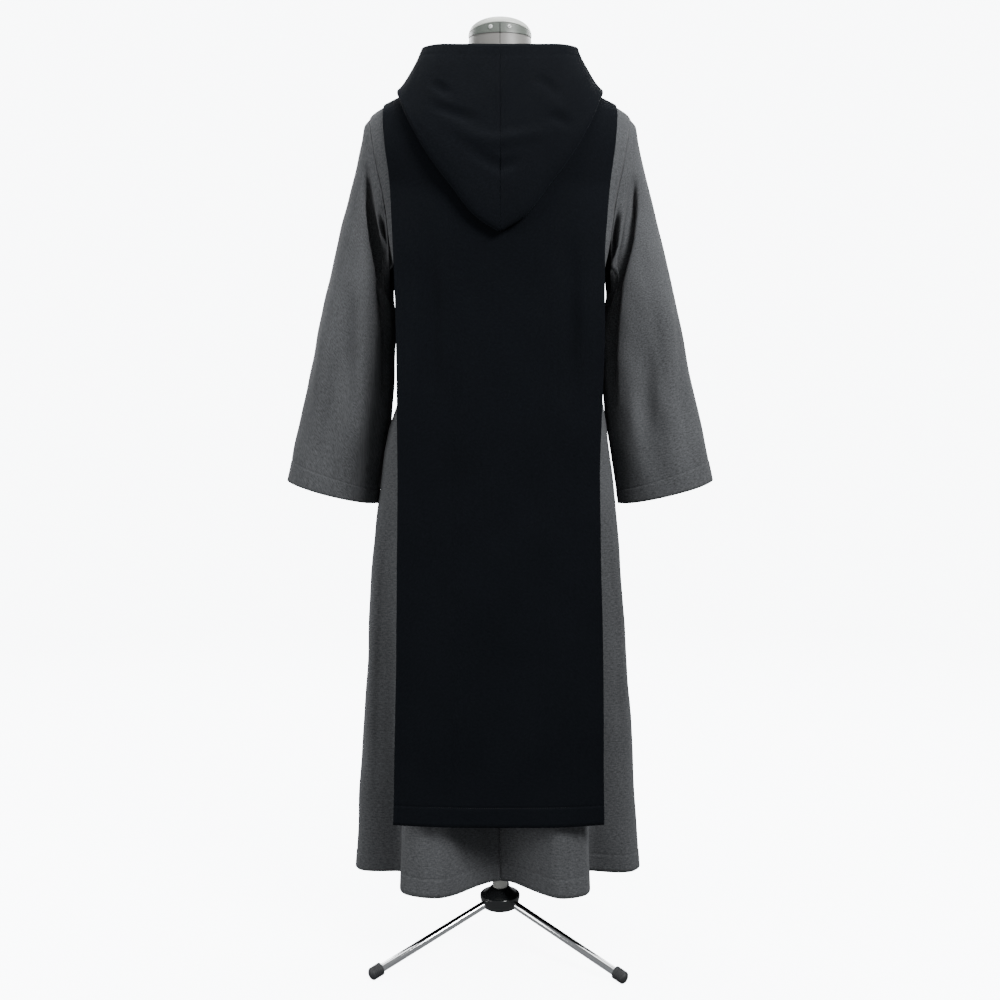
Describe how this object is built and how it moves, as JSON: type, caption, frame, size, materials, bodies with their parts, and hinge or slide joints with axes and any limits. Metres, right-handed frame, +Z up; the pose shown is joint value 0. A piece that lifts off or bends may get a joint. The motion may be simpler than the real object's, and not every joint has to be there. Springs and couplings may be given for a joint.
{
  "type": "monk habit on a dress form with its stand",
  "caption": "Long A-line tunic with wide sleeves, a scapular hanging front and back, and a pointed hood lying down on the back, on a limbless form and tripod stand.",
  "frame": {"origin": "on the floor, under the middle of the whole part's bounding box", "axes": "+Z up along the pole, -Y towards the front of the habit, +X towards the wearer's left"},
  "size_m": [0.782, 0.4059, 1.666],
  "materials": {
    "tunic_cloth": "matt grey melange wool blend",
    "scapular_cloth": "matt black wool blend",
    "form_shell": "satin",
    "form_cap": "semi-gloss",
    "form_plate": "satin",
    "pole_paint": "gloss off-white paint",
    "hub_plastic": "gloss",
    "leg_chrome": "polished",
    "foot_rubber": "matt"
  },
  "bodies": {
    "root": {"tunic_front": "tunic_cloth", "tunic_back_left": "tunic_cloth", "tunic_back_right": "tunic_cloth", "sleeve_left": "tunic_cloth", "sleeve_right": "tunic_cloth", "scapular_back": "scapular_cloth", "scapular_front": "scapular_cloth", "hood_left": "scapular_cloth", "hood_right": "scapular_cloth", "form_body": "form_shell", "form_neck_cap": "form_cap", "form_neck_plate": "form_plate", "form_screw_left": "form_cap", "form_screw_right": "form_cap", "stand_pole": "pole_paint", "stand_hub": "hub_plastic", "stand_leg_left": "leg_chrome", "stand_leg_right": "leg_chrome", "stand_leg_front": "leg_chrome", "stand_foot_left": "foot_rubber", "stand_foot_right": "foot_rubber", "stand_foot_front": "foot_rubber"}
  },
  "joints": []
}
